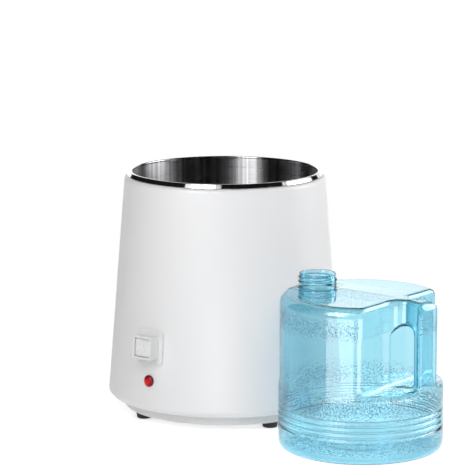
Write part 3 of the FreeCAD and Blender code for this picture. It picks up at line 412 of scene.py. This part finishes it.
# Lengths of the form, in mm, with s along the line from the neck to the handle.
skin = 1.9
band_r = (jug_high.x - jug_low.x) / 2 / mm
body_r = band_r - 1.0
band_top_z = 58.0
band_fade = 7.0
rib_count = 4
rib_low_z = 23.5
rib_pitch = 5.5
rib_half = 1.9
rib_deep = 1.5
inner_rib_deep = 0.35
foot_edge_r = 7.0
recess_high = 4.0
recess_r = 62.0
recess_run = 24.0
deck_z = 145.0
shoulder_r = 9.0
ridge_near = 2.4
ridge_far = 0.5
ridge_long = 95.0
ridge_half = 30.0
ridge_round = 0.8
bay_s = 42.0
bay_floor_z = 65.0
bay_corner_r = 13.0
bay_floor_r = 5.0
bay_edge_r = 4.4
web_half = 5.6
column_s = 62.0
column_flare = 0.95
column_foot_r = 4.0
eye_top_z = 121.0
eye_top_r = 9.0
eye_floor_r = 4.0
eye_edge_r = 2.6
neck_s = 26.0 - body_r
neck_r = 17.4
neck_hole_r = 15.4
neck_top_z = jug_high.z / mm
neck_clear = 21.0
neck_fade = 6.0
deck_ring_r = 20.6
net_pitch = 1.85


def hollow_corner(a, b, r):
    """Larger of two distances, rounded by r where the two surfaces meet at a ridge."""
    return np.minimum(-r, np.maximum(a, b)) + np.hypot(np.maximum(a + r, 0), np.maximum(b + r, 0))


def jug_distance(s, t, z, deep=rib_deep):
    """Distance to the jug's outer skin, negative inside, with s from the neck to the handle, t
    across and z up, in mm. A drum, narrower above its band, loses a squared cosine at each rib;
    its deck rises to a ridge, its foot to a domed recess, and both corners are rounded. Two
    bays beside the handle web and the eye through that web are cut away."""
    out = np.hypot(s, t)
    drum_r = band_r - (band_r - body_r) * np.clip((z - band_top_z) / band_fade, 0, 1)
    for rib in range(rib_count):
        along = np.clip((z - rib_low_z - rib_pitch * rib) / rib_half, -1, 1)
        drum_r = drum_r - deep * np.cos(along * np.pi / 2) ** 2
    neck_away = np.hypot(s - neck_s, t)
    crest = ridge_near + (ridge_far - ridge_near) * np.clip((s - neck_s) / ridge_long, 0, 1)
    fall = 1 - np.hypot(t, ridge_round) / ridge_half
    rise = crest * fall * np.clip((neck_away - neck_clear) / neck_fade, 0, 1)
    top = z - deck_z - np.maximum(rise, 0)
    foot = recess_high * np.sin(np.clip((recess_r - out) / recess_run, 0, 1) * np.pi / 2) ** 2 - z
    drum = hollow_corner(hollow_corner(out - drum_r, top, shoulder_r), foot, foot_edge_r)
    web = web_half - np.abs(t)
    slant = (web_half + column_flare * (s - column_s) - np.abs(t)) / math.hypot(1, column_flare)
    bay = hollow_corner(hollow_corner(bay_s - s, web, bay_corner_r), slant, column_foot_r)
    bay = hollow_corner(bay, bay_floor_z - z, bay_floor_r)
    solid = hollow_corner(drum, -bay, bay_edge_r)
    eye = hollow_corner(np.maximum(bay_s - s, s - column_s), z - eye_top_z, eye_top_r)
    eye = hollow_corner(eye, bay_floor_z - z, eye_floor_r)
    return hollow_corner(solid, -eye, eye_edge_r)


def slope_of(distance, points):
    """Gradient of a distance at points, from small steps both ways along each axis."""
    step = 0.02
    rows = []
    for axis in range(3):
        move = np.zeros(3)
        move[axis] = step
        rows.append((distance(*(points + move).T) - distance(*(points - move).T)) / (2 * step))
    return np.stack(rows, 1)


least_square = 0.2


def net_over(distance, axes):
    """Closed net of quads over the zero level of a distance: one point in each grid cell with
    corners on both sides of the surface, and a quad round each grid edge that the surface cuts.
    Six steps of distance over gradient draw the points on to it, and the squared gradient counts
    as a least value or more, so that no step runs away."""
    inside = distance(*np.meshgrid(*axes, indexing="ij")) < 0
    count = sum(inside[tuple(slice(d, d - 1 or None) for d in corner)].astype(int)
                for corner in np.ndindex(2, 2, 2))
    crossed = (count > 0) & (count < 8)
    label = np.full(crossed.shape, -1)
    label[crossed] = np.arange(crossed.sum())
    middles = [(a[1:] + a[:-1]) / 2 for a in axes]
    cell = np.argwhere(crossed)
    points = np.stack([middles[d][cell[:, d]] for d in range(3)], 1)
    for _ in range(6):
        slope = slope_of(distance, points)
        size = np.maximum((slope ** 2).sum(1), least_square)
        points = points - slope * (distance(*points.T) / size)[:, None]
    quads = []
    for axis in range(3):
        a, b = [d for d in range(3) if d != axis]
        ahead = [slice(None)] * 3
        ahead[axis] = slice(1, None)
        behind = [slice(None)] * 3
        behind[axis] = slice(None, -1)
        change = inside[tuple(behind)] != inside[tuple(ahead)]
        edge = np.argwhere(change)
        leaving = inside[tuple(behind)][tuple(edge.T)]
        corners = []
        for step_a, step_b in ((-1, -1), (0, -1), (0, 0), (-1, 0)):
            at = edge.copy()
            at[:, a] += step_a
            at[:, b] += step_b
            corners.append(label[tuple(at.T)])
        quad = np.stack(corners, 1)
        outward = leaving if axis != 1 else ~leaving
        quad[~outward] = quad[~outward][:, ::-1]
        quads.append(quad)
    return points, np.concatenate(quads)


grid_margin = 2.5
close_low_z, close_high_z = 20.0, 44.0


def jug_axes():
    """Grid lines for the net: even, but twice as close through the ribs. Each axis is shifted by
    a hair, so that no line runs along a flat face of the form."""
    side = np.arange(-band_r - grid_margin, band_r + grid_margin + net_pitch, net_pitch)
    low = np.arange(-2.0, close_low_z, net_pitch)
    close = np.arange(close_low_z, close_high_z, net_pitch / 2)
    high = np.arange(close_high_z, deck_z + 6, net_pitch)
    return side + 0.013, side + 0.021, np.unique(np.concatenate([low, close, high])) + 0.017


def jug_cavity(s, t, z):
    """Distance to the inner skin, a wall further in, where the ribs come through only faintly."""
    return jug_distance(s, t, z, inner_rib_deep) + skin


outer_points, outer_quads = net_over(jug_distance, jug_axes())
inner_points, inner_quads = net_over(jug_cavity, jug_axes())


def without_neck_patch(points, quads, radius):
    """Leaves out the deck quads that touch a point within a radius of the neck's axis."""
    near = (np.hypot(points[:, 0] - neck_s, points[:, 1]) < radius) & (points[:, 2] > deck_z - 4)
    return quads[~near[quads].any(1)]


thread_pitch = 4.2
thread_turns = 2
thread_proud = 1.1
thread_foot = 1.35
thread_top_gap = 2.2


def thread_swell(angle, height):
    """Height of the thread over the neck: a ridge with a narrow flat crest and flanks at 45
    degrees, along two turns of a helix, fading in and out over a sixth of a turn."""
    low = neck_top_z - thread_top_gap - thread_turns * thread_pitch
    swell = np.zeros_like(height)
    for lap in range(-1, thread_turns + 1):
        along = angle / (2 * np.pi) + lap
        fade = np.clip(np.minimum(along, thread_turns - along) * 6, 0, 1)
        middle = low + thread_pitch * along
        flank = np.clip(thread_foot - np.abs(height - middle) / thread_proud, 0, 1)
        swell = np.maximum(swell, thread_proud * fade * flank)
    return swell


neck_fillet_r = 2.0
lip_out_r = 0.8
lip_in_r = 0.6
flare_r = 1.5


def neck_surface(columns):
    """Neck as a profile carried round its axis: out of the deck through a fillet, up the
    threaded outside, over the rounded lip, down the bore and out under the deck."""
    quarter = np.linspace(0, np.pi / 2, 7)
    arc_x, arc_z = np.cos(quarter), np.sin(quarter)
    lip_x, lip_z = neck_r - lip_out_r, neck_top_z - lip_out_r
    edge_x, edge_z = neck_hole_r + lip_in_r, neck_top_z - lip_in_r
    under_z = deck_z - skin
    rise_z = np.linspace(deck_z + neck_fillet_r, lip_z, 42)[1:]
    bore_z = np.linspace(edge_z, under_z + flare_r, 8)[1:]
    fillet = [neck_r + neck_fillet_r * (1 - arc_z), deck_z + neck_fillet_r * (1 - arc_x)]
    rise = [np.full_like(rise_z, neck_r), rise_z]
    lip = [lip_x + lip_out_r * arc_x[1:], lip_z + lip_out_r * arc_z[1:]]
    edge = [edge_x - lip_in_r * arc_z, edge_z + lip_in_r * arc_x]
    bore = [np.full_like(bore_z, neck_hole_r), bore_z]
    flare = [neck_hole_r + flare_r * (1 - arc_x[1:]), under_z + flare_r * (1 - arc_z[1:])]
    first, last = [[deck_ring_r], [deck_z]], [[deck_ring_r], [under_z]]
    radius, height = np.concatenate([first, fillet, rise, lip, edge, bore, flare, last], 1)
    angle = np.arange(columns) / columns * 2 * np.pi
    number = np.arange(len(radius))
    outside = (number > len(quarter)) & (number < len(quarter) + len(rise_z))
    swell = thread_swell(angle[None, :], height[:, None]) * outside[:, None]
    reach = radius[:, None] + swell
    points = np.stack([neck_s + reach * np.cos(angle), reach * np.sin(angle),
                       np.repeat(height[:, None], columns, 1)], 2).reshape(-1, 3)
    row, column = np.meshgrid(np.arange(len(radius) - 1), np.arange(columns), indexing="ij")
    beside = (column + 1) % columns
    quads = np.stack([row * columns + column, row * columns + beside,
                      (row + 1) * columns + beside, (row + 1) * columns + column], 2).reshape(-1, 4)
    return points, quads


neck_columns = 144
opening_r = deck_ring_r + 1.2
neck_points, neck_quads = neck_surface(neck_columns)
outer_quads = without_neck_patch(outer_points, outer_quads, opening_r)
inner_quads = without_neck_patch(inner_points, inner_quads, opening_r)


def open_edges(quads):
    """Edges that only one quad uses, in that quad's direction."""
    edges = np.concatenate([quads[:, [i, (i + 1) % 4]] for i in range(4)])
    names = np.sort(edges, 1)
    _, first, uses = np.unique(names, axis=0, return_index=True, return_counts=True)
    return edges[first[uses == 1]]


def bridge(points, rim, ring):
    """Closes the flat gap between the jagged opening in the net and the neck's ring: the points
    of both loops are put in one order of angle about the neck, and each makes a triangle with
    the point before it on its own loop and the last point passed on the other."""
    def by_angle(loop):
        way = np.arctan2(points[loop, 1], points[loop, 0] - neck_s)
        order = np.argsort(way)
        return loop[order], way[order]

    wide, wide_way = by_angle(np.unique(rim))
    tight, tight_way = by_angle(ring)
    order = np.argsort(np.concatenate([wide_way, tight_way]), kind="stable")
    on_wide = (order < len(wide)).astype(int)
    wides = np.cumsum(on_wide) - on_wide
    tights = np.cumsum(1 - on_wide) - (1 - on_wide)
    ahead = np.where(on_wide, wide[wides % len(wide)], tight[tights % len(tight)])
    return np.stack([wide[wides - 1], ahead, tight[tights - 1]], 1)


def jug_mesh():
    """Joins outer net, inner net and neck into one closed mesh in the jug's place, shaded with
    the slope of the form itself over both nets."""
    first_inner = len(outer_points)
    first_neck = first_inner + len(inner_points)
    points = np.concatenate([outer_points, inner_points, neck_points])
    facing = np.concatenate([slope_of(jug_distance, outer_points), -slope_of(jug_cavity, inner_points),
                             np.zeros_like(neck_points)])
    inner = inner_quads[:, ::-1] + first_inner
    top_ring = first_neck + np.arange(neck_columns)
    low_ring = len(points) - neck_columns + np.arange(neck_columns)
    over = bridge(points, open_edges(outer_quads), top_ring)
    under = bridge(points, open_edges(inner), low_ring)[:, ::-1]
    cosine, sine = math.cos(handle_turn), math.sin(handle_turn)
    spin = np.array([[cosine, -sine, 0], [sine, cosine, 0], [0, 0, 1]])
    faces = [outer_quads, inner, neck_quads + first_neck, over, under]
    used = np.unique(np.concatenate([part.ravel() for part in faces]))
    renamed = np.zeros(len(points), int)
    renamed[used] = np.arange(len(used))
    mesh = bpy.data.meshes.new("jug")
    placed = (points[used] @ spin.T + (jug_x, jug_y, 0)) * mm
    mesh.from_pydata(placed.tolist(), [], sum([renamed[part].tolist() for part in faces], []))
    mesh.shade_smooth()
    size = np.linalg.norm(facing, axis=1)[:, None]
    facing = facing / np.where(size > 0, size, 1)
    mesh.normals_split_custom_set_from_vertices((facing[used] @ spin.T).tolist())
    return mesh


mesh = jug_mesh()
jug = bpy.data.objects.new("jug_moulding", mesh)
bpy.context.scene.collection.objects.link(jug)
stipple_mm = 1.35
stipple_bands = ((9, 23, 2), (41.5, 62, 6), (116, 133, 4))
stipple_r = body_r - 0.9
face_on_tint = (0.9, 0.972, 0.988, 1)
edge_on_tint = (0.36, 0.76, 0.87, 1)
depth_tint = (0.02, 0.69, 0.83, 1)


def jug_polymer(name):
    """Tinted clear polymer: the tint comes from the depth of the wall and is deeper where the
    wall is seen edge on. The mould's spark-eroded bands, each given by its low and high level
    and how far it fades, in mm, show on the drum as darker specks with a fine relief. Real specks
    are about 0.5 mm apart, and they are drawn at 1.35 mm so that they show. Light on its way
    from a lamp, or back from a matt face, goes straight through."""
    material, tree = blank(name)
    place = add(tree, "TexCoord").outputs["Object"]
    height = add(tree, "SeparateXYZ", {0: place}).outputs[2]
    speck = add(tree, "TexVoronoi", {"Vector": place, "Scale": 1000 / stipple_mm})
    band = 0.0
    for low, high, fade in stipple_bands:
        up = add(tree, "MapRange", {"Value": height, "From Min": (low - fade) * mm,
                                    "From Max": (low + fade) * mm})
        down = add(tree, "MapRange", {"Value": height, "From Min": (high + fade) * mm,
                                      "From Max": (high - fade) * mm})
        both = add(tree, "Math", {0: up.outputs[0], 1: down.outputs[0]}, operation="MULTIPLY")
        band = add(tree, "Math", {0: band, 1: both.outputs[0]}, operation="MAXIMUM").outputs[0]
    dots = add(tree, "MapRange", {"Value": speck.outputs["Distance"], "From Min": 0.43, "From Max": 0.34})
    centred = add(tree, "Mapping", {"Vector": place, "Location": (-jug_x * mm, -jug_y * mm, 0),
                                    "Scale": (1, 1, 0)})
    reach = add(tree, "VectorMath", {0: centred.outputs[0]}, operation="LENGTH")
    drum = add(tree, "Math", {0: reach.outputs["Value"], 1: stipple_r * mm}, operation="GREATER_THAN")
    banded = add(tree, "Math", {0: drum.outputs[0], 1: band}, operation="MULTIPLY")
    marked = add(tree, "Math", {0: dots.outputs[0], 1: banded.outputs[0]}, operation="MULTIPLY")
    gloss = add(tree, "MapRange", {"Value": marked.outputs[0], "To Min": 0.02, "To Max": 0.3})
    facing = add(tree, "LayerWeight", {"Blend": 0.5})
    slant = add(tree, "MapRange", {"Value": facing.outputs["Facing"], "From Min": 0.6, "From Max": 0.98})
    wall = add(tree, "Mix", {0: slant.outputs[0], 6: face_on_tint, 7: edge_on_tint}, data_type="RGBA")
    tone = add(tree, "Mix", {0: marked.outputs[0], 6: wall.outputs[2], 7: linear("1c6c92")}, data_type="RGBA")
    clear = add(tree, "MapRange", {"Value": marked.outputs[0], "To Min": 1.0, "To Max": 0.55})
    relief = add(tree, "Bump", {"Height": marked.outputs[0], "Strength": 0.5, "Distance": 0.04 * mm})
    shader = add(tree, "BsdfPrincipled", {"Base Color": tone.outputs[2], "Roughness": gloss.outputs[0],
                                          "IOR": 1.5, "Transmission Weight": clear.outputs[0],
                                          "Normal": relief.outputs[0]})
    rays = add(tree, "LightPath")
    soft = add(tree, "Math", {0: rays.outputs["Is Shadow Ray"], 1: rays.outputs["Is Diffuse Ray"]},
               operation="MAXIMUM")
    shade = add(tree, "BsdfTransparent", {"Color": linear("f7fbfd")})
    lamp_way = add(tree, "MixShader", {0: soft.outputs[0], 1: shader.outputs[0], 2: shade.outputs[0]})
    tint = add(tree, "VolumeAbsorption", {"Color": depth_tint, "Density": 230.0})
    add(tree, "OutputMaterial", {"Surface": lamp_way.outputs[0], "Volume": tint.outputs[0]})
    return material


# PET, blow-moulded and tinted: clear light blue, deeper at its edges and folds, with a high gloss.
mesh.materials.append(jug_polymer("blow_moulded_blue_pet"))
jug.visible_diffuse = False
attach(jug, "jug")
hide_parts("water_jug")

# ---------------------------------------------------------------- table, light and camera
# White paper on the table, a lit paper backdrop behind the pair, softboxes from the left, the
# right, above and in front, and two low cards that show only as reflections.
table_half = 30.0
table_z = -0.2 * mm
near_r, far_r = 0.32, 1.1


def sheet(name, corners, material):
    """A flat sheet of paper or card, from its four corners."""
    sheet_mesh = bpy.data.meshes.new(name)
    sheet_mesh.from_pydata(corners, [], [(0, 1, 2, 3)])
    sheet_mesh.materials.append(material)
    made = bpy.data.objects.new(name, sheet_mesh)
    bpy.context.scene.collection.objects.link(made)
    return made


# White paper, matt: holds the pair's shadow near by, and fades to plain white further out.
table_paper, tree = blank("white_table_paper")
place = add(tree, "TexCoord").outputs["Object"]
away = add(tree, "VectorMath", {0: place}, operation="LENGTH")
far = add(tree, "MapRange", {"Value": away.outputs["Value"], "From Min": near_r, "From Max": far_r},
          interpolation_type="SMOOTHSTEP")
rays = add(tree, "LightPath")
open_view = add(tree, "Math", {0: rays.outputs["Is Camera Ray"], 1: rays.outputs["Is Glossy Ray"]},
                operation="MAXIMUM")
seen = add(tree, "Math", {0: open_view.outputs[0], 1: rays.outputs["Is Transmission Ray"]},
           operation="MAXIMUM")
paper = add(tree, "BsdfDiffuse", {"Color": linear("f2f2f2")})
glow = add(tree, "MapRange", {"Value": open_view.outputs[0], "To Min": 0.2, "To Max": 0.56})
near_glow = add(tree, "Emission", {"Strength": glow.outputs[0]})
far_glow = add(tree, "Emission", {"Strength": 1.0})
near_look = add(tree, "AddShader", {0: paper.outputs[0], 1: near_glow.outputs[0]})
look = add(tree, "MixShader", {0: far.outputs[0], 1: near_look.outputs[0], 2: far_glow.outputs[0]})
top = add(tree, "MixShader", {0: seen.outputs[0], 1: near_look.outputs[0], 2: look.outputs[0]})
add(tree, "OutputMaterial", {"Surface": top.outputs[0]})
floor = sheet("table_top", [(-table_half, -table_half, table_z), (table_half, -table_half, table_z),
                            (table_half, table_half, table_z), (-table_half, table_half, table_z)],
              table_paper)


def lit(name, strength):
    """Paper or card lit evenly, as bright as the strength says."""
    material, tree = blank(name)
    shine = add(tree, "Emission", {"Strength": strength})
    add(tree, "OutputMaterial", {"Surface": shine.outputs[0]})
    return material


back_y = 1.7
back_half = 1.2
back_top = 1.1
sheet_foot = 1 * mm
# White paper, lit: an even white that shows only in reflections and as light from behind.
wall = sheet("backdrop", [(-back_half, back_y, sheet_foot), (back_half, back_y, sheet_foot),
                          (back_half, back_y, back_top), (-back_half, back_y, back_top)],
             lit("lit_backdrop_paper", 1.7))
wall.visible_camera = wall.visible_shadow = wall.visible_transmission = False

# The room is nearly dark, except where it shows through the clear pieces.
world = bpy.data.worlds.new("studio")
world.use_nodes = True
world.node_tree.nodes.clear()
rays = add(world.node_tree, "LightPath")
room = add(world.node_tree, "MapRange", {"Value": rays.outputs["Is Transmission Ray"],
                                         "To Min": 0.02, "To Max": 0.6})
sky = add(world.node_tree, "Background", {"Color": (1, 1, 1, 1), "Strength": room.outputs[0]})
add(world.node_tree, "OutputWorld", {"Surface": sky.outputs[0]})
bpy.context.scene.world = world


aim_z = 0.1


def soft_lamp(name, azimuth, elevation, distance, wide, tall, power):
    """Softbox facing the pair from an azimuth, in degrees from straight in front and positive to
    the right, an elevation in degrees and a distance in metres, so wide and tall in metres and
    of that power in watts."""
    data = bpy.data.lights.new(name, "AREA")
    data.shape = "RECTANGLE"
    data.size = wide
    data.size_y = tall
    data.energy = power
    lamp = bpy.data.objects.new(name, data)
    turn, rise = math.radians(azimuth), math.radians(elevation)
    lamp.location = (distance * math.sin(turn) * math.cos(rise), -distance * math.cos(turn) * math.cos(rise),
                     aim_z + distance * math.sin(rise))
    lamp.rotation_euler = (math.pi / 2 - rise, 0, turn)
    bpy.context.scene.collection.objects.link(lamp)
    return lamp


# The grids light only glossy and clear faces, and the overhead and fill boxes leave no glint.
soft_lamp("left_softbox", -33, 34, 1.3, 0.8, 1.0, 6.4)
soft_lamp("left_grid", -33, 34, 1.25, 0.5, 0.9, 11).visible_diffuse = False
soft_lamp("right_softbox", 108, 24, 1.2, 0.9, 0.9, 6.3)
soft_lamp("right_grid", 108, 24, 1.15, 0.6, 0.8, 6).visible_diffuse = False
soft_lamp("overhead_softbox", 0, 88, 1.4, 1.1, 1.1, 2).visible_glossy = False
soft_lamp("fill_softbox", 8, 38, 1.6, 1.0, 1.0, 8.4).visible_glossy = False

# White card, lit: draws the two bright patches on the chamber's rim.
lit_card = lit("lit_reflector_card", 6.5)
for name, start, end, top_z in (("left_card", (-0.150, -0.321), (0.027, -0.415), 0.096),
                                ("right_card", (0.215, -0.398), (0.403, -0.200), 0.085)):
    card = sheet(name, [(*start, sheet_foot), (*end, sheet_foot), (*end, top_z), (*start, top_z)], lit_card)
    card.visible_camera = card.visible_diffuse = False
    card.visible_transmission = card.visible_shadow = False

# A long lens, with a focal length of 5.3 frame widths, looking 10 degrees down on the pair
# from 2.4 m in front of the base unit and 60 mm to the right of its middle.
focal_widths = 2485 / 470
camera_data = bpy.data.cameras.new("camera")
camera_data.sensor_width = 36
camera_data.lens = camera_data.sensor_width * focal_widths
camera = bpy.data.objects.new("camera", camera_data)
camera.location = (unit_x + 0.06, unit_y - 2.4, 0.605)
camera.rotation_euler = (math.radians(90 - 10.2), 0, math.radians(1.2))
bpy.context.scene.collection.objects.link(camera)
bpy.context.scene.camera = camera
bpy.context.scene.view_settings.view_transform = "Standard"
